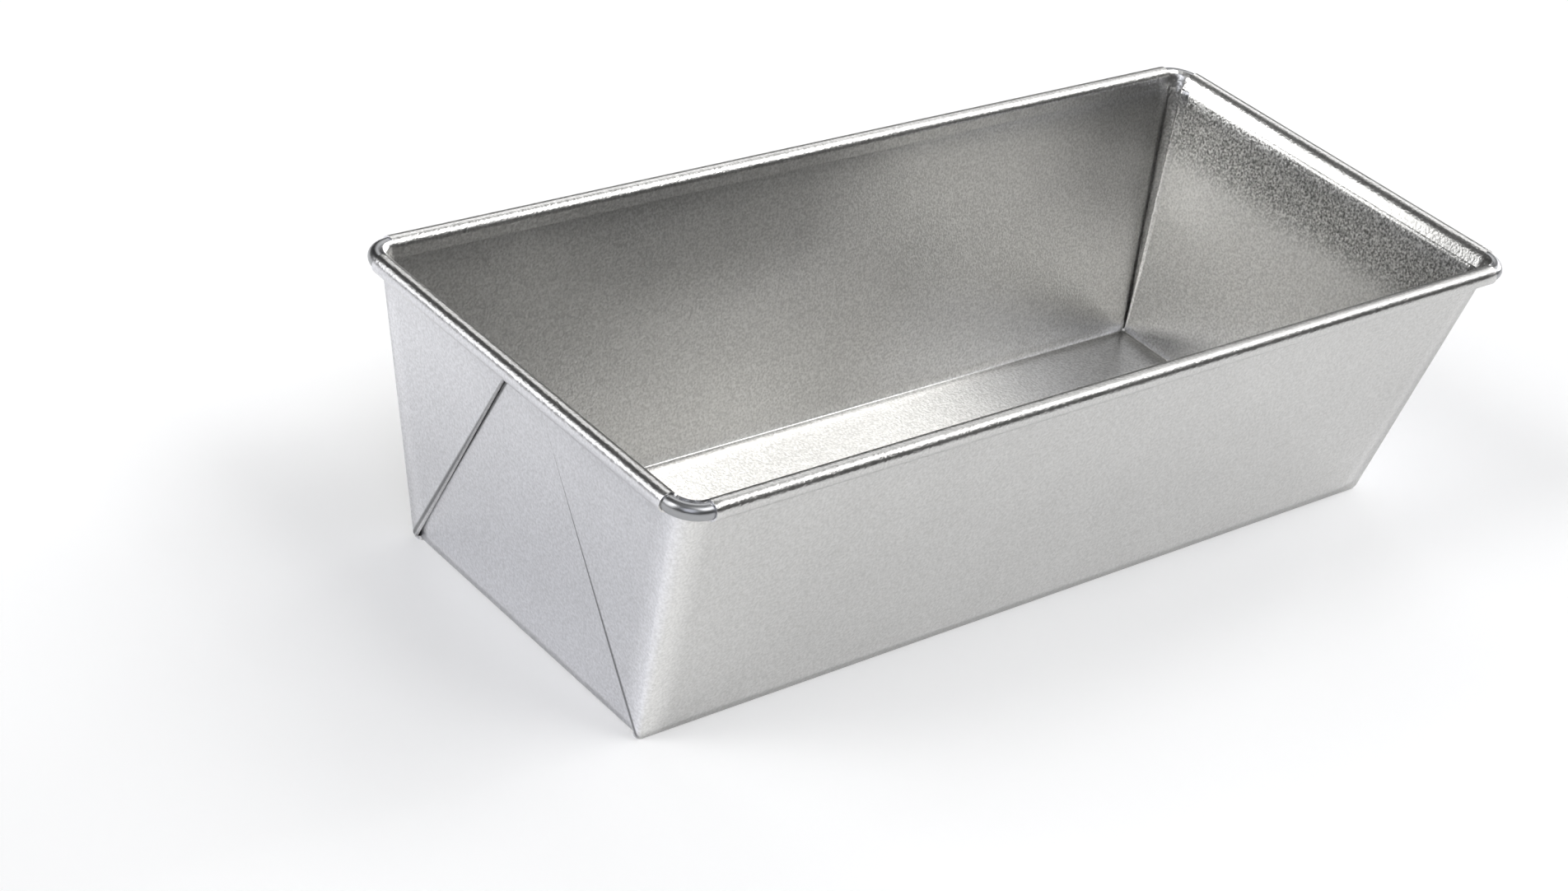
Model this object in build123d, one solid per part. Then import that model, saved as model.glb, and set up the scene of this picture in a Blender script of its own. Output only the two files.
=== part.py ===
from build123d import *
import math
import os

# Folded loaf pan with a wired rim, in millimetres.
# The origin is the middle of the underside: +X along the pan, +Y across it, +Z up.
# One sheet makes the floor, the walls and the four ears folded flat on the end walls.
# Its top edges roll outward round a closed wire, which shows bare at the four corners.

# Outside sizes of the pan
rim_length = 229.0
rim_width = 103.5
pan_height = 62.5
base_length = 202.5
base_width = 74.5

# Sheet and wire
sheet = 0.35
wire_diameter = 3.3
wire_bend_radius = 5.2

# Clearance of the wire in its rolled edge, and of the folded layers on each other
wrap_clearance = 0.05
fold_gap = 0.08

# Inside radius of the crisp bend round the floor, and the height of wall above it
floor_bend = 0.25
tray_rise = 0.3

# Slack in the turn that shows inside each corner as a ridge, and in degrees the slant
# at which that ridge runs out into the end wall
ridge_slack_foot = 0.06
ridge_slack_rim = 0.4
ridge_slant = 28.0

# Width of the groove between that ridge and the long wall
groove_foot = 0.12
groove_rim = 2.0

# Flat length of the ears at their foot, and the space between two ears under the rim
ear_foot_length = 0.4
ear_tops_apart = 9.0

# Where the sheet's edge stops on its way over the wire, in degrees above level outward:
# rolled under it along the sides, and cut back to its inner side at the corners
long_lip_angle = -146.0
end_lip_angle = -110.0
corner_lip_angle = 120.0

# Places that follow from these sizes
wire_radius = wire_diameter / 2
roll_inside = wire_radius + wrap_clearance
roll_outside = roll_inside + sheet
wire_height = pan_height - roll_outside
wire_half_length = rim_length / 2 - roll_outside
wire_half_width = rim_width / 2 - roll_outside
base_half_length = base_length / 2
base_half_width = base_width / 2
fold_foot = floor_bend + sheet + tray_rise
fold_top = wire_height - roll_inside
bend_centre_x = wire_half_length - wire_bend_radius
bend_centre_y = wire_half_width - wire_bend_radius


def wall_lean(wire_half, base_half):
    """Angle from upright of a wall that touches the wire's clearance from inside."""
    run = wire_half - base_half
    slant = math.hypot(run, wire_height)
    return math.atan2(run, wire_height) - math.asin(roll_inside / slant)


end_lean = wall_lean(wire_half_length, base_half_length)
long_lean = wall_lean(wire_half_width, base_half_width)


class FoldLevel:
    """The sheet cut level at one height, in the corner where X and Y are positive.

    Three layers lie on the end wall: the wall, the ear's inner layer and its outer one.
    The outer layer turns the upright corner and becomes the long wall.
    """

    def __init__(self, height):
        rise_share = (height - fold_foot) / (fold_top - fold_foot)
        layer = sheet / math.cos(end_lean)
        gap = fold_gap / math.cos(end_lean)
        self.wall_out = base_half_length + height * math.tan(end_lean)
        self.wall_in = self.wall_out - layer
        self.inner_in = self.wall_out + gap
        self.inner_out = self.inner_in + layer
        self.outer_in = self.inner_out + gap
        self.outer_out = self.outer_in + layer
        self.long_out = base_half_width + height * math.tan(long_lean)
        self.long_in = self.long_out - sheet / math.cos(long_lean)
        slack = ridge_slack_foot + rise_share * (ridge_slack_rim - ridge_slack_foot)
        groove = groove_foot + rise_share * (groove_rim - groove_foot)
        self.turn_out = layer + gap / 2
        self.ridge_out = self.turn_out + slack
        self.ridge_in = self.ridge_out - layer
        self.bend_in = self.ridge_out + groove
        self.bend_out = self.bend_in + layer
        self.ridge_centre = (self.inner_out - self.ridge_out, self.long_in - self.bend_in)
        foot_tip = self.ridge_centre[1] - ear_foot_length
        rim_tip = ear_tops_apart / 2 + self.turn_out
        self.ear_turn = foot_tip + rise_share * (rim_tip - foot_tip)

    def bend(self, corner_x, corner_y, radius):
        """Quarter turn from the long wall, at corner_y, into the ear, at corner_x."""
        centre_x = corner_x - radius
        centre_y = corner_y - radius
        slant = radius * math.sqrt(0.5)
        middle = (centre_x + slant, centre_y + slant)
        return (centre_x, corner_y), middle, (corner_x, centre_y)

    def ear_edge(self, start_x, end_x):
        """Half turn at the ear's free edge, with its tip towards the pan's middle."""
        middle_x = (start_x + end_x) / 2
        radius = (start_x - end_x) / 2
        start = (start_x, self.ear_turn)
        end = (end_x, self.ear_turn)
        return start, (middle_x, self.ear_turn - radius), end

    def ridge(self, radius, wall_x):
        """Turn from the ear into the end wall, and the slant that runs out into it."""
        centre_x, centre_y = self.ridge_centre
        turned = math.pi + math.radians(ridge_slant)
        half = turned / 2
        start = (centre_x + radius, centre_y)
        middle = (centre_x + radius * math.cos(half), centre_y + radius * math.sin(half))
        leave = (centre_x + radius * math.cos(turned), centre_y + radius * math.sin(turned))
        run = (wall_x - leave[0]) / math.tan(math.radians(ridge_slant))
        return (start, middle, leave), (leave, (wall_x, leave[1] - run))

    def inside_corner(self):
        """The face of the sheet that the bread touches, from long wall to end wall."""
        bend = self.bend(self.outer_in, self.long_in, self.bend_in)
        edge = self.ear_edge(self.outer_in, self.inner_out)
        turn, slant = self.ridge(self.ridge_out, self.wall_in)
        return [bend, (bend[-1], edge[0]), edge, (edge[-1], turn[0]), turn, slant]

    def outside_corner(self):
        """The sheet's other face over the same way."""
        bend = self.bend(self.outer_out, self.long_out, self.bend_out)
        edge = self.ear_edge(self.outer_out, self.inner_in)
        turn, slant = self.ridge(self.ridge_in, self.wall_out)
        return [bend, (bend[-1], edge[0]), edge, (edge[-1], turn[0]), turn, slant]


def mirrored(pieces, sign_x, sign_y):
    """One corner's pieces in another corner, run in the order that closes a loop."""
    moved = [[(sign_x * x, sign_y * y) for x, y in piece] for piece in pieces]
    if sign_x * sign_y < 0:
        moved = [piece[::-1] for piece in moved[::-1]]
    return moved


def level_edges(corner, height):
    """Edges of a loop through four mirrored corners and the straight walls between them."""
    pieces = []
    for signs in ((1, 1), (1, -1), (-1, -1), (-1, 1)):
        turned = mirrored(corner, *signs)
        if pieces:
            pieces.append([pieces[-1][-1], turned[0][0]])
        pieces.extend(turned)
    pieces.append([pieces[-1][-1], pieces[0][0]])
    edges = []
    for piece in pieces:
        points = [(x, y, height) for x, y in piece]
        is_arc = len(points) == 3
        edges.append(Edge.make_three_point_arc(*points) if is_arc else Edge.make_line(*points))
    return edges


def upright_face(foot_edge, top_edge):
    """Flat face between two parallel lines, or a ruled face between two arcs."""
    if foot_edge.geom_type == GeomType.CIRCLE:
        return Face.make_surface_from_curves(foot_edge, top_edge)
    start = Edge.make_line(foot_edge @ 0, top_edge @ 0)
    end = Edge.make_line(foot_edge @ 1, top_edge @ 1)
    return Face(Wire([foot_edge, end, top_edge, start]))


def folded_walls():
    """Walls and ears as one strip of sheet, from the floor's bend to the wire."""
    foot = FoldLevel(fold_foot)
    top = FoldLevel(fold_top)
    outside_foot = level_edges(foot.outside_corner(), fold_foot)
    outside_top = level_edges(top.outside_corner(), fold_top)
    inside_foot = level_edges(foot.inside_corner(), fold_foot)
    inside_top = level_edges(top.inside_corner(), fold_top)
    faces = [
        Face(Wire(outside_foot), [Wire(inside_foot)]),
        Face(Wire(outside_top), [Wire(inside_top)]),
    ]
    for foot_edge, top_edge in zip(outside_foot + inside_foot, outside_top + inside_top):
        faces.append(upright_face(foot_edge, top_edge))
    return Solid(Shell(faces))


def wall_to_wall(base_half, lean, inset, bottom):
    """Upright section between two facing walls, drawn with its height along Y."""
    low = base_half + bottom * math.tan(lean) - inset / math.cos(lean)
    high = base_half + fold_foot * math.tan(lean) - inset / math.cos(lean)
    return Polygon((-low, bottom), (low, bottom), (high, fold_foot), (-high, fold_foot), align=None)


def flared_block(inset, bottom, radius):
    """Solid between the walls' faces, inset from the outside, up to the fold's foot."""
    along = Plane.XZ * wall_to_wall(base_half_length, end_lean, inset, bottom)
    across = Plane.YZ * wall_to_wall(base_half_width, long_lean, inset, bottom)
    block = extrude(along, rim_width, both=True) & extrude(across, rim_length, both=True)
    return fillet(block.edges().group_by(Axis.Z)[1], radius)


def pressed_tip(sign_x, sign_y):
    """Pressed tip of one fold, which closes its layers down to the floor's corner."""
    outlines = []
    for height in (0, fold_foot):
        level = FoldLevel(height)
        inset = floor_bend * (1 - height / fold_foot)
        size = 2 * level.bend_out + sheet
        place_x = level.outer_out - inset - size / 2
        place_y = level.long_out - inset - size / 2
        outline = RectangleRounded(size, size, level.bend_out)
        outlines.append(Pos(sign_x * place_x, sign_y * place_y, height) * outline)
    return loft(outlines, ruled=True)


def floor_tray():
    """Floor with its bend, and the low rise of wall that the folds stand on."""
    foot = FoldLevel(fold_foot)
    block = flared_block(0, 0, foot.bend_out)
    bottom_rim = block.edges().group_by(Axis.Z)[0]
    block = fillet(bottom_rim, floor_bend + sheet)
    hollow = flared_block(sheet, sheet, foot.bend_in)
    hollow_rim = hollow.edges().group_by(Axis.Z)[0]
    hollow = fillet(hollow_rim, floor_bend)
    for sign_x in (1, -1):
        for sign_y in (1, -1):
            block += pressed_tip(sign_x, sign_y)
    return block - hollow


def roll_profile(wire_half, base_half, lean, lip_angle):
    """Section of a wall's last stretch and its roll round the wire, outward along X."""
    wall_out_x = base_half + fold_top * math.tan(lean)
    wall_in_x = wall_out_x - sheet / math.cos(lean)
    leave = math.pi - lean
    lip = math.radians(lip_angle)
    middle = (leave + lip) / 2

    def around(radius, angle):
        return (wire_half + radius * math.cos(angle), wire_height + radius * math.sin(angle))

    start = (wall_in_x, fold_top)
    end = (wall_out_x, fold_top)
    outer = [around(roll_outside, angle) for angle in (leave, middle, lip)]
    inner = [around(roll_inside, angle) for angle in (lip, middle, leave)]
    edges = [
        Edge.make_line(start, outer[0]),
        Edge.make_three_point_arc(*outer),
        Edge.make_line(outer[-1], inner[0]),
        Edge.make_three_point_arc(*inner),
        Edge.make_line(inner[-1], end),
        Edge.make_line(end, start),
    ]
    return Face(Wire(edges))


def rolled_edge(profile, half_run, turn):
    """Rolled edge of one wall, run both ways from its middle and turned to its side."""
    return Rot(0, 0, turn) * extrude(Plane.XZ * profile, half_run, both=True)


def corner_collar(profile):
    """Sheet that stands inside the wire's bend in the corner where X and Y are positive."""
    axis = Axis((bend_centre_x, 0, 0), (0, 0, 1))
    quarter = revolve(Plane.XZ * profile, axis=axis, revolution_arc=90)
    return Pos(0, bend_centre_y, 0) * quarter


def rolled_rim():
    """Rolled edges along the wire's straight sides, and a collar inside each bend."""
    end = (wire_half_length, base_half_length, end_lean)
    long_side = (wire_half_width, base_half_width, long_lean)
    end_profile = roll_profile(*end, end_lip_angle)
    long_profile = roll_profile(*long_side, long_lip_angle)
    collar = corner_collar(roll_profile(*end, corner_lip_angle))
    facing = mirror(collar, about=Plane.XZ)
    pieces = [collar, facing, mirror(collar, about=Plane.YZ), mirror(facing, about=Plane.YZ)]
    for turn in (0, 180):
        pieces.append(rolled_edge(end_profile, bend_centre_y, turn))
        pieces.append(rolled_edge(long_profile, bend_centre_x, turn + 90))
    return pieces


def pan_body():
    """The folded sheet: floor, walls, ears and rolled edges in one piece."""
    body = floor_tray() + folded_walls()
    for piece in rolled_rim():
        body += piece
    return body


def rim_wire():
    """The closed wire in the rim, bent to a rounded rectangle."""
    outline = RectangleRounded(2 * wire_half_length, 2 * wire_half_width, wire_bend_radius)
    path = (Pos(0, 0, wire_height) * outline).wire()
    section = Plane(origin=path @ 0, z_dir=path % 0) * Circle(wire_radius)
    return sweep(section, path=path)


os.makedirs("parts", exist_ok=True)
export_step(pan_body(), "parts/pan_body.step")
export_step(rim_wire(), "parts/rim_wire.step")
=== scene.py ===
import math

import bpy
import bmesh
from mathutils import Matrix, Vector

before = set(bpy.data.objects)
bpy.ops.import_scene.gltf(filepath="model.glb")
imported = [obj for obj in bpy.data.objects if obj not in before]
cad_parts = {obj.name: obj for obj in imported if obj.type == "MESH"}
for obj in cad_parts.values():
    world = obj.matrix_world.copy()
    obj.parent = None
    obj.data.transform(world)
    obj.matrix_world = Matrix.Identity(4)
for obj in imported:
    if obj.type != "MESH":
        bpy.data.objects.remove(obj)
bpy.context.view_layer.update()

# %% [markdown]
# # A folded loaf pan in tinned sheet
#
# The pan is one sheet of tinned steel. Its corners are folded, not cut: the spare sheet
# of each corner lies as a flat ear on the end wall. The top edges are rolled round a
# closed steel wire, which shows bare where the rolls stop short of the corners.
#
# The CAD frame already holds the sheet and the wire in metres, with the origin in the
# middle of the underside, +X along the pan and +Z up. This script gives them their
# finish, and adds the floor, the lamps and the camera.

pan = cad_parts["pan_body"]
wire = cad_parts["rim_wire"]

# %% [markdown]
# ## Shader maths written as Python
#
# A finish is a tree of nodes. To read it as a formula, one small class wraps a socket
# and turns Python's operators into Math nodes. Any other node comes from one method:
# first its settings, then the values or links of its sockets.

# %% The socket class
class Shade:
    """One output socket of a material, which Python's operators can calculate with."""

    def __init__(self, tree, socket=None):
        self.tree = tree
        self.socket = socket

    def node(self, kind, settings, inputs, output=0):
        """A new node of that kind, and the output that is used of it."""
        made = self.tree.nodes.new(kind)
        for name, value in settings.items():
            setattr(made, name, value)
        for name, value in inputs.items():
            if isinstance(value, Shade):
                self.tree.links.new(value.socket, made.inputs[name])
            else:
                made.inputs[name].default_value = value
        return Shade(self.tree, made.outputs[output])

    def maths(self, operation, first, second):
        return self.node("ShaderNodeMath", {"operation": operation}, {0: first, 1: second})

    def __add__(self, other):
        return self.maths("ADD", self, other)

    def __radd__(self, other):
        return self.maths("ADD", other, self)

    def __sub__(self, other):
        return self.maths("SUBTRACT", self, other)

    def __rsub__(self, other):
        return self.maths("SUBTRACT", other, self)

    def __mul__(self, other):
        return self.maths("MULTIPLY", self, other)

    def __rmul__(self, other):
        return self.maths("MULTIPLY", other, self)


def new_material(name):
    """An empty material, its shader's inputs and a Shade to start formulas from."""
    material = bpy.data.materials.new(name)
    material.use_nodes = True
    tree = material.node_tree
    shader = tree.nodes["Principled BSDF"]
    return material, shader.inputs, Shade(tree)


def feed(shade, socket):
    """Links a formula to a socket of the shader."""
    shade.tree.links.new(shade.socket, socket)


print("socket class ready")

# %% [markdown]
# ## Tinned sheet
#
# The tin coat is satin: it shows soft reflections with a fine sparkle. Thin sheet is
# never quite flat either. It flares out a little under the rolled rim, it rounds into
# the bend at the floor, and round each bottom corner the folding leaves a fan of faint
# creases. The CAD walls are flat, so the finish tilts the shading there with bumps.
# Each bump is a height in metres, measured along the face, as if it were real sheet.

# %% Helpers for places on the sheet
def noise(shade, place, size, detail):
    """Soft noise from 0 to 1 whose blobs are about that many metres across."""
    inputs = {"Vector": place, "Scale": 1.0 / size, "Detail": detail}
    return shade.node("ShaderNodeTexNoise", {}, inputs, "Fac")


def vector(shade, operation, first, second=(0, 0, 0), output=0):
    """Vector Math on one or two vectors."""
    settings = {"operation": operation}
    return shade.node("ShaderNodeVectorMath", settings, {0: first, 1: second}, output)


def axis(shade, vector_value, name):
    """One axis of a vector, X, Y or Z."""
    return shade.node("ShaderNodeSeparateXYZ", {}, {0: vector_value}, name)


def ramp_up(shade, value, low, high):
    """0 below low, 1 above high, and straight between them."""
    inputs = {"Value": value, "From Min": low, "From Max": high}
    return shade.node("ShaderNodeMapRange", {"clamp": True}, inputs)


def ramp_down(shade, value, low, high):
    """1 below low, 0 above high, and straight between them."""
    return 1 - ramp_up(shade, value, low, high)


print("helpers ready")

# %% [markdown]
# ## Where a point of the sheet is
#
# The finish has to know on which wall a point lies and how near it is to a fold. Object
# coordinates give its place in metres. Each wall leans by a known slope, so the distance
# to it at that height is one short sum. The four corners are alike, so the place is
# folded into one quarter with ABSOLUTE before measuring.

# %% Places on the sheet
base_half = Vector((0.1009, 0.0369, 0.0004))
wall_lean = Vector((0.1568, 0.1774))


def outward(shade, place):
    """1 on faces that look away from the pan's middle, and -1 on faces that look in."""
    normal = shade.node("ShaderNodeTexCoord", {}, {}, "Normal")
    level = vector(shade, "MULTIPLY", place, (1.0, 1.0, 0.0))
    along = vector(shade, "DOT_PRODUCT", normal, level, "Value")
    return shade.node("ShaderNodeMath", {"operation": "SIGN"}, {0: along})


def outside(shade, place):
    """1 on the outer faces, and 0 on the others."""
    return ramp_up(shade, outward(shade, place), 0.0, 1.0)


def inside(shade, place):
    """1 on the inner faces, and 0 on the others."""
    return ramp_down(shade, outward(shade, place), -1.0, 0.0)


def facing(shade, name):
    """1 on walls that face along that axis, X for the end walls, and 0 on the others."""
    normal = shade.node("ShaderNodeNewGeometry", {}, {}, "Normal")
    return axis(shade, normal, name) * axis(shade, normal, name)


def from_walls(shade, place):
    """How far in a point is from the end wall and from the long wall near it."""
    folded = vector(shade, "ABSOLUTE", place)
    rise = axis(shade, folded, "Z")
    from_end = rise * wall_lean.x + base_half.x - axis(shade, folded, "X")
    from_side = rise * wall_lean.y + base_half.y - axis(shade, folded, "Y")
    return from_end, from_side


def from_corner(shade, place):
    """How far a point is from the upright corner near it."""
    from_end, from_side = from_walls(shade, place)
    return shade.maths("MAXIMUM", from_end, from_side)


print("slopes of the end and long walls", wall_lean.x, wall_lean.y)

# %% [markdown]
# ## Bumps
#
# Three bumps bend the shading: the flare under the rim, which is steeper at the ends, the
# rounded folds, and the fans of creases. A bump only tilts the light's reflection and
# moves no surface, so the model stays inside its CAD box.

# %% Heights of the sheet off the flat CAD walls
flare_start = 0.047
flare_end = 0.0588
flare_slope_side = 0.12
flare_slope_end = 0.26
bend_reach = 0.0025
bend_slope = 0.5
corner_reach = 0.006
corner_slope = 0.30
fan_reach = 0.055
fan_depth = 0.022
fan_ripple = 0.45        # from crease to crease, where the fan has a radius of 1


def soft_edge(shade, distance, reach, slope):
    """The height of sheet that curves up to a fold over that reach, at that last slope."""
    near = ramp_down(shade, distance, 0.0, reach)
    return near * near * (slope * reach / 2)


def flare(shade, place):
    """The walls' last centimetre, which curves out to the wire."""
    rise = ramp_up(shade, axis(shade, place, "Z"), flare_start, flare_end)
    extra = facing(shade, "X") * (flare_slope_end - flare_slope_side)
    height = (extra + flare_slope_side) * ((flare_end - flare_start) / 4)
    return outward(shade, place) * rise * rise * rise * rise * height


def folds(shade, place):
    """Walls that round into each other at the corners, and into the floor."""
    corner = soft_edge(shade, from_corner(shade, place), corner_reach, corner_slope)
    rise = axis(shade, place, "Z") - base_half.z
    floor_bend = soft_edge(shade, rise, bend_reach, bend_slope)
    return (corner * outside(shade, place) + floor_bend) * outward(shade, place) * -1


def fans(shade, place):
    """Faint creases that run out from the four bottom corners."""
    folded = vector(shade, "ABSOLUTE", place)
    off = vector(shade, "SUBTRACT", folded, tuple(base_half))
    reach = vector(shade, "LENGTH", off, output="Value")
    quarter = vector(shade, "SIGN", place)
    ray = vector(shade, "ADD", vector(shade, "NORMALIZE", off), quarter)
    ripple = noise(shade, ray, fan_ripple, 0.0) - 0.5
    fade = ramp_down(shade, reach, 0.0, fan_reach)
    return ripple * reach * fade * fade * fan_depth


print("flare starts", 1000 * flare_start, "mm above the table")

# %% [markdown]
# ## Leaning walls
#
# Inside, the walls mirror each other, and a lean of a few degrees decides what they show.
# A long wall bellies in: on each side of its crest it leans to its own end. An end wall
# lifts towards its folds, and where it meets the roll it looks up. Adding a small vector
# to the normal is enough for that. The first values are the slopes that are added. The
# pairs are in metres and say between which places each lean fades in or out.

# %% Lean of the inner faces
low_lean = 0.10
left_lean = 0.18
right_lean = 0.07
fold_lean = 0.25
roll_lift = 0.45

low_rise = (0.022, 0.040)
low_along = (0.000, 0.030)
low_climb_from = 0.040        # past this, the low belly reaches higher towards the end
low_climb = 0.4
high_rise = (0.030, 0.044)
crest = 0.009
left_near = (-0.006, 0.012)
left_far = (0.050, 0.075)
right_near = (0.006, 0.020)
right_far = (0.045, 0.062)
fold_rise = (0.016, 0.034)
fold_near = (0.012, 0.042)
roll_rise = (0.0578, 0.0589)


def belly(shade, place):
    """The lean of a long wall along X: low on both halves, and high on each half alone."""
    rise = axis(shade, place, "Z")
    along = axis(shade, vector(shade, "ABSOLUTE", place), "X")
    end = axis(shade, vector(shade, "SIGN", place), "X")
    low = ramp_down(shade, rise - (along - low_climb_from) * low_climb, *low_rise)
    both = end * low * ramp_up(shade, along, *low_along) * low_lean

    across = axis(shade, place, "X")
    left = ramp_up(shade, crest - across, *left_near) * left_lean
    left = left * ramp_down(shade, across * -1, *left_far)
    right = ramp_up(shade, across - crest, *right_near) * right_lean
    right = right * ramp_down(shade, across, *right_far)
    return both + (right - left) * ramp_up(shade, rise, *high_rise) * (1 - low)


def leaning_normal(shade, place):
    """The face's normal, turned where the inner walls belly in, lift and meet the roll."""
    within = inside(shade, place)
    long_wall = facing(shade, "Y") * within
    end_wall = facing(shade, "X") * within
    rise = axis(shade, place, "Z")
    side = axis(shade, vector(shade, "SIGN", place), "Y")

    near_fold = ramp_down(shade, from_walls(shade, place)[1], *fold_near)
    lift = side * end_wall * ramp_up(shade, rise, *fold_rise) * near_fold * -fold_lean
    at_roll = end_wall * ramp_up(shade, rise, *roll_rise) * roll_lift

    leans = {0: belly(shade, place) * long_wall, 1: lift, 2: at_roll}
    turn = shade.node("ShaderNodeCombineXYZ", {}, leans)
    normal = shade.node("ShaderNodeNewGeometry", {}, {}, "Normal")
    return vector(shade, "NORMALIZE", vector(shade, "ADD", normal, turn))


print("leans from", right_lean, "to", roll_lift)

# %% [markdown]
# ## Painted shade and reflections
#
# Where the end walls start to flare, a dull, speckled band is painted into the colour: a
# painted reflection, since each grain there mirrors either a lamp or the dark. Low on the end
# walls, where the sheet rounds into the floor, dark wedges are painted shade. Outside, a thin
# dark line of painted shade runs where an ear's edge lies on the wall. Each function gives
# how much of the tin's brightness is taken away.

# %% Painted shade and reflections on the tin
band_rise = (0.041, 0.048)
band_end = (0.0575, 0.0588)
# How dark the painted reflection band under the rim is.
rim_band_darkness = 0.75
wedge_slope = 0.33
wedge_soft = 0.003
wedge_far = (0.014, 0.032)
# How dark the painted shade of the wedges is.
wedge_shade_darkness = 0.55
seam_foot, seam_head = 0.0370, 0.0045        # from the middle of the end wall
seam_rise = 0.0578
seam_end = (0.0566, 0.0570)
seam_width = 0.00045
# How dark the painted shade along the ears' edges is.
seam_shade_darkness = 0.7


def painted_rim_band(shade, place, grain):
    """Painted dark reflection, a speckled band inside the end walls under the rim's flare."""
    rise = axis(shade, place, "Z")
    band = ramp_up(shade, rise, *band_rise) * ramp_down(shade, rise, *band_end)
    end_wall = inside(shade, place) * facing(shade, "X")
    return band * end_wall * (1 - grain) * rim_band_darkness


def painted_wedge_shade(shade, place):
    """Painted shade: dark wedges low on the end walls' inside, widening from the corners."""
    from_side = from_walls(shade, place)[1]
    off = axis(shade, place, "Z") - from_side * wedge_slope
    wedge = ramp_down(shade, off, 0.0, wedge_soft) * ramp_down(shade, from_side, *wedge_far)
    return wedge * inside(shade, place) * facing(shade, "X") * wedge_shade_darkness


def seam_shade(shade, place):
    """Painted shade: thin dark lines outside, where the ears' free edges lie on the end
    walls.
    """
    folded = vector(shade, "ABSOLUTE", place)
    rise = axis(shade, folded, "Z") - base_half.z
    edge = seam_foot - rise * ((seam_foot - seam_head) / seam_rise)
    off = axis(shade, folded, "Y") - edge
    apart = shade.maths("MAXIMUM", off, off * -1)
    line = ramp_down(shade, apart, seam_width / 2, seam_width * 1.5)
    line = line * ramp_down(shade, rise, *seam_end)
    return line * outside(shade, place) * facing(shade, "X") * seam_shade_darkness


print("seam_shade", 1000 * seam_width, "mm wide")

# %% [markdown]
# ## The tin itself
#
# The coat's colour runs from dull to bright with a fine grain. Outside it is made a little
# darker, less on the ends, whose lighter tone is painted light, and less along the upright
# bends, where the lighter strip is a painted highlight. The outer ends also get a painted
# cool tint, the bluish light they reflect. Two Bump nodes follow each other: the first
# carries the sheet's shape, and the second adds the grain to its normal.

# %% Tinned sheet's material
grain_size = 0.00055
grain_edge = (0.28, 0.72)
grain_height = 0.000030
grain_inside = 1.25
grain_outside = 0.68
cloud_size = 0.012
cloud_share = 0.2
swell_size = 0.045
swell_height = 0.00010
dull_tin = (0.62, 0.615, 0.60, 1.0)
bright_tin = (0.86, 0.855, 0.84, 1.0)
middle_tone = 0.4
satin = 0.278
satin_change = 0.02
# Outside darkening on the long walls and on the ends; the ends' lighter tone is painted
# light.
outer_dark_side = 0.19
outer_dark_end = 0.04
# A painted highlight along the outer upright bends.
bend_highlight = 0.16
bend_highlight_reach = (0.001, 0.006)
# A painted cool tint on the outer end walls, for the bluish light they reflect.
painted_cool_ends = (-0.02, -0.01, 0.05)


def tin_colour(shade, place, grain, cloud):
    """Dull to bright tin by the grain, with painted shade, reflections, highlight and cool
    tint.
    """
    out = outside(shade, place)
    ends = facing(shade, "X")
    speckle = (grain - 0.5) * (grain_inside - out * (grain_inside - grain_outside))
    tones = {0: speckle + cloud * cloud_share + middle_tone, 6: dull_tin, 7: bright_tin}
    colour = shade.node("ShaderNodeMix", {"data_type": "RGBA"}, tones, 2)
    # Painted cool tint on the outer end walls.
    cool = vector(shade, "MULTIPLY", out * ends, painted_cool_ends)
    colour = vector(shade, "MULTIPLY", colour, vector(shade, "ADD", cool, (1.0, 1.0, 1.0)))

    # Painted highlight at the bends, and painted light on the lighter outer ends.
    at_bend = ramp_down(shade, from_corner(shade, place), *bend_highlight_reach)
    outer_dark = outer_dark_side - ends * (outer_dark_side - outer_dark_end) - at_bend * bend_highlight
    # Painted reflection under the rim, painted shade in the wedges and along the ears' edges.
    painted_dark = shade.maths("MAXIMUM", painted_rim_band(shade, place, grain), painted_wedge_shade(shade, place))
    unshaded = 1 - shade.maths("MAXIMUM", painted_dark, seam_shade(shade, place))
    return vector(shade, "MULTIPLY", colour, unshaded * (1 - out * outer_dark))


def tinned_sheet():
    """Satin tin with a fine sparkle, faint clouds and the sheet's own unevenness."""
    material, shader, shade = new_material("tinned_sheet")
    place = shade.node("ShaderNodeTexCoord", {}, {}, "Object")
    grain = ramp_up(shade, noise(shade, place, grain_size, 1.0), *grain_edge)
    cloud = noise(shade, place, cloud_size, 1.0)
    swell = noise(shade, place, swell_size, 1.0)
    shader["Metallic"].default_value = 1.0
    feed(tin_colour(shade, place, grain, cloud), shader["Base Color"])
    feed(satin + cloud * satin_change, shader["Roughness"])

    height = swell * swell_height + flare(shade, place) + folds(shade, place)
    shape = {"Height": height + fans(shade, place), "Distance": 1.0, "Strength": 1.0}
    shape["Normal"] = leaning_normal(shade, place)
    shaped = shade.node("ShaderNodeBump", {}, shape)
    sparkle = {"Height": grain, "Distance": grain_height, "Strength": 1.0, "Normal": shaped}
    feed(shade.node("ShaderNodeBump", {}, sparkle), shader["Normal"])
    return material


pan.material_slots[0].material = tinned_sheet()
print("tinned sheet: grains about", grain_size * 1000, "mm across")

# %% [markdown]
# ## Steel wire
#
# The wire stiffens the rim. It is drawn steel: pulled through a die, it comes out round,
# smooth and darker than the tin, so it shows a soft bright streak along its top. One
# metal shader with faint clouds in its colour and gloss is enough for what is left bare.

# %% Steel wire's material
wire_gloss = 0.28
wire_change = 0.08
dark_steel = (0.34, 0.345, 0.355, 1.0)
light_steel = (0.44, 0.445, 0.455, 1.0)


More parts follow.
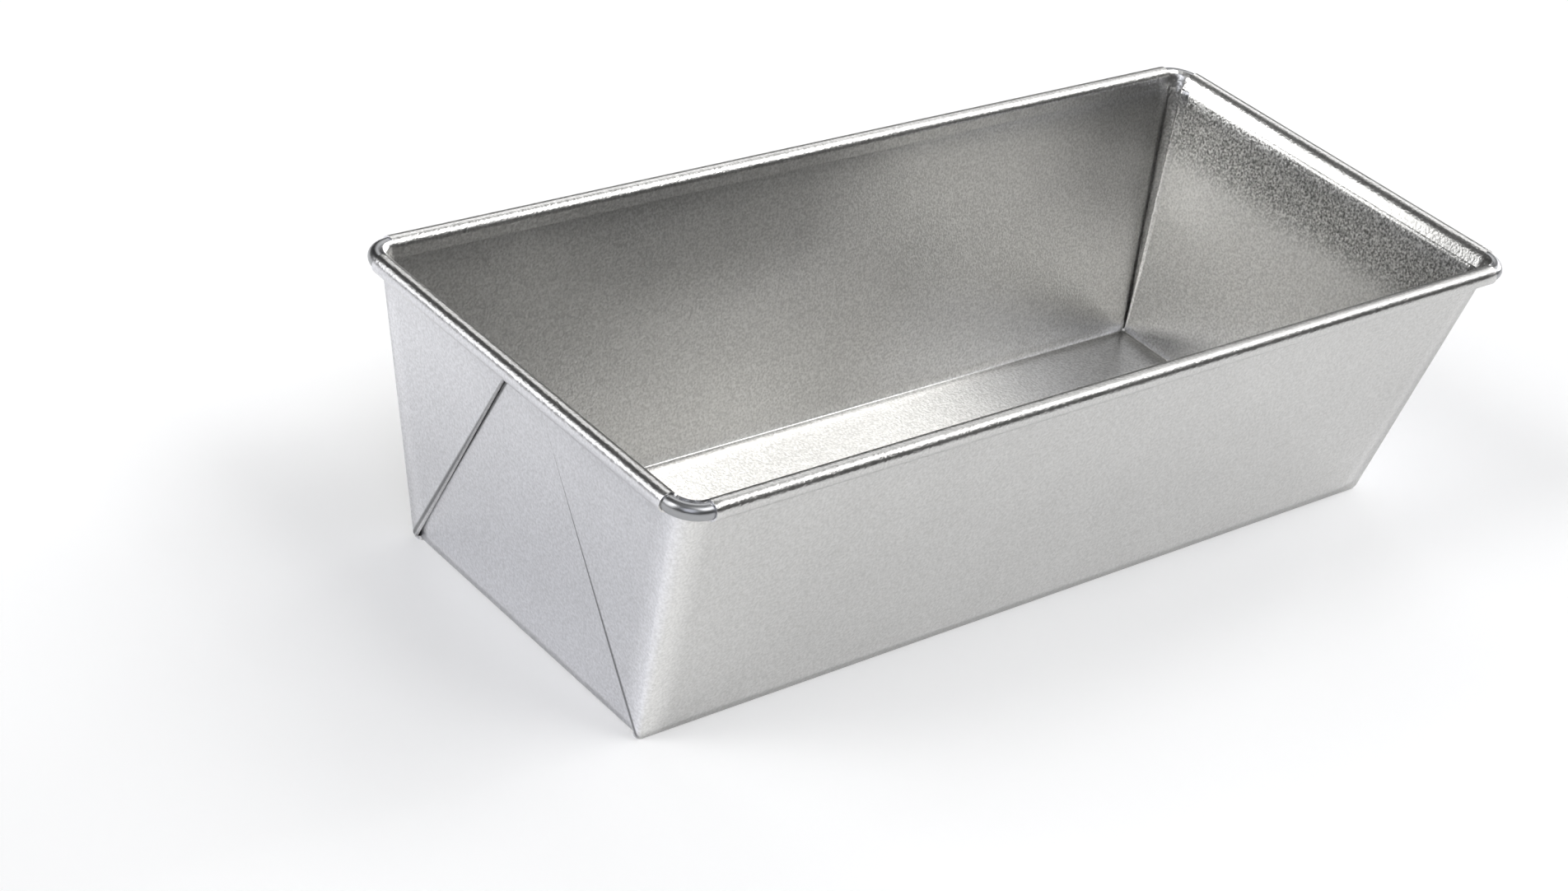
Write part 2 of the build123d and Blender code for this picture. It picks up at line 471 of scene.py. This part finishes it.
def steel_wire():
    """Drawn steel wire, a little darker than the tin."""
    material, shader, shade = new_material("steel_wire")
    place = shade.node("ShaderNodeTexCoord", {}, {}, "Object")
    cloud = noise(shade, place, cloud_size, 3.0)
    shader["Metallic"].default_value = 1.0
    tones = {0: cloud, 6: dark_steel, 7: light_steel}
    colour = shade.node("ShaderNodeMix", {"data_type": "RGBA"}, tones, 2)
    feed(colour, shader["Base Color"])
    feed(wire_gloss + cloud * wire_change, shader["Roughness"])
    return material


wire.material_slots[0].material = steel_wire()
print("steel wire on", wire.name)

# %% [markdown]
# ## Floor
#
# The pan stands on a plain white floor that runs far past every view, so that it is the
# background too. It is matt, and it keeps the pan's soft shadow. A studio lights such a
# floor a little more than the object. Here a faint glow does that, for the camera and for
# the metal that mirrors the floor, and sheds no light on the pan.

# %% Floor
floor_half = 40.0
floor_white = 0.88
floor_glow = 0.18
floor_mesh = bpy.data.meshes.new("floor")
sheet = bmesh.new()
bmesh.ops.create_grid(sheet, x_segments=1, y_segments=1, size=floor_half)
sheet.to_mesh(floor_mesh)
sheet.free()
floor = bpy.data.objects.new("floor", floor_mesh)
bpy.context.scene.collection.objects.link(floor)
print("floor", 2 * floor_half, "m across")

material, shader, shade = new_material("floor")
shader["Base Color"].default_value = (floor_white, floor_white, floor_white, 1.0)
shader["Roughness"].default_value = 0.9
shader["Specular IOR Level"].default_value = 0.0
shader["Emission Strength"].default_value = 1.0
seen = shade.node("ShaderNodeLightPath", {}, {}, "Is Camera Ray")
mirrored = shade.node("ShaderNodeLightPath", {}, {}, "Is Glossy Ray")
feed((seen + mirrored) * floor_glow, shader["Emission Color"])
floor.data.materials.append(material)

# %% [markdown]
# ## Light
#
# Bright metal shows its lamps, so their places matter more than their power. Each lamp
# is a Sun with a wide angle, which is what a large soft box far away looks like: a bright
# disc in the sky. The rest of the room is nearly dark, and gives the metal its greys.

# %% World
room_glow = 0.03
world = bpy.data.worlds.new("studio")
bpy.context.scene.world = world
world.use_nodes = True
background = world.node_tree.nodes["Background"]
background.inputs["Color"].default_value = (1.0, 1.0, 1.0, 1.0)
background.inputs["Strength"].default_value = room_glow
print("room glow", room_glow)


# %% Lamps
def soft_lamp(name, azimuth, height, width, strength, colour=(1.0, 1.0, 1.0)):
    """A soft box far away: where it stands and how wide it looks, in degrees."""
    lamp = bpy.data.lights.new(name, "SUN")
    lamp.angle = math.radians(width)
    lamp.energy = strength
    lamp.color = colour
    holder = bpy.data.objects.new(name, lamp)
    level = math.cos(math.radians(height))
    along = math.cos(math.radians(azimuth)) * level
    across = math.sin(math.radians(azimuth)) * level
    towards = Vector((along, across, math.sin(math.radians(height))))
    holder.rotation_euler = towards.to_track_quat("Z", "Y").to_euler()
    bpy.context.scene.collection.objects.link(holder)


cool = (0.90, 0.92, 1.0)
soft_lamp("key", -62, 53, 28, 0.76)
soft_lamp("key_side", -20, 46, 28, 0.50)
soft_lamp("top", -72, 73, 22, 0.13)
soft_lamp("right_low", -2, 17, 17, 0.83)
soft_lamp("right_edge", 17, 17, 17, 0.33)
soft_lamp("left_high", 165, 46, 20, 0.55)
soft_lamp("left_back", 135, 25, 28, 0.38)
soft_lamp("left_wide", 165, 25, 28, 0.52)
soft_lamp("back", 50, 42, 34, 0.38)
soft_lamp("camera_side", -130, 40, 36, 0.52, cool)
soft_lamp("right_high", 12, 42, 22, 0.14)
soft_lamp("overhead", 0, 88, 46, 0.12)
print("lamps", len(bpy.data.lights))

# %% [markdown]
# ## Camera
#
# The camera looks down into the pan from its near left corner. Its place, its roll and
# its long lens were found by lining up the pan's own edges with those in the photograph.

# %% Camera
camera_place = Vector((-0.4377, -0.3869, 0.3596))
camera_aim = Vector((-0.0170, 0.0241, 0.0065))
camera_roll = 11.51
focal_length = 74.55
lens = bpy.data.cameras.new("camera")
lens.lens = focal_length
camera = bpy.data.objects.new("camera", lens)
camera.location = camera_place
look = (camera_aim - camera_place).to_track_quat("-Z", "Y").to_matrix()
camera.rotation_euler = (look @ Matrix.Rotation(math.radians(camera_roll), 3, "Z")).to_euler()
bpy.context.scene.collection.objects.link(camera)
bpy.context.scene.camera = camera

bpy.context.scene.view_settings.view_transform = "Standard"
print("camera", round(1000 * (camera_aim - camera_place).length), "mm from its aim")
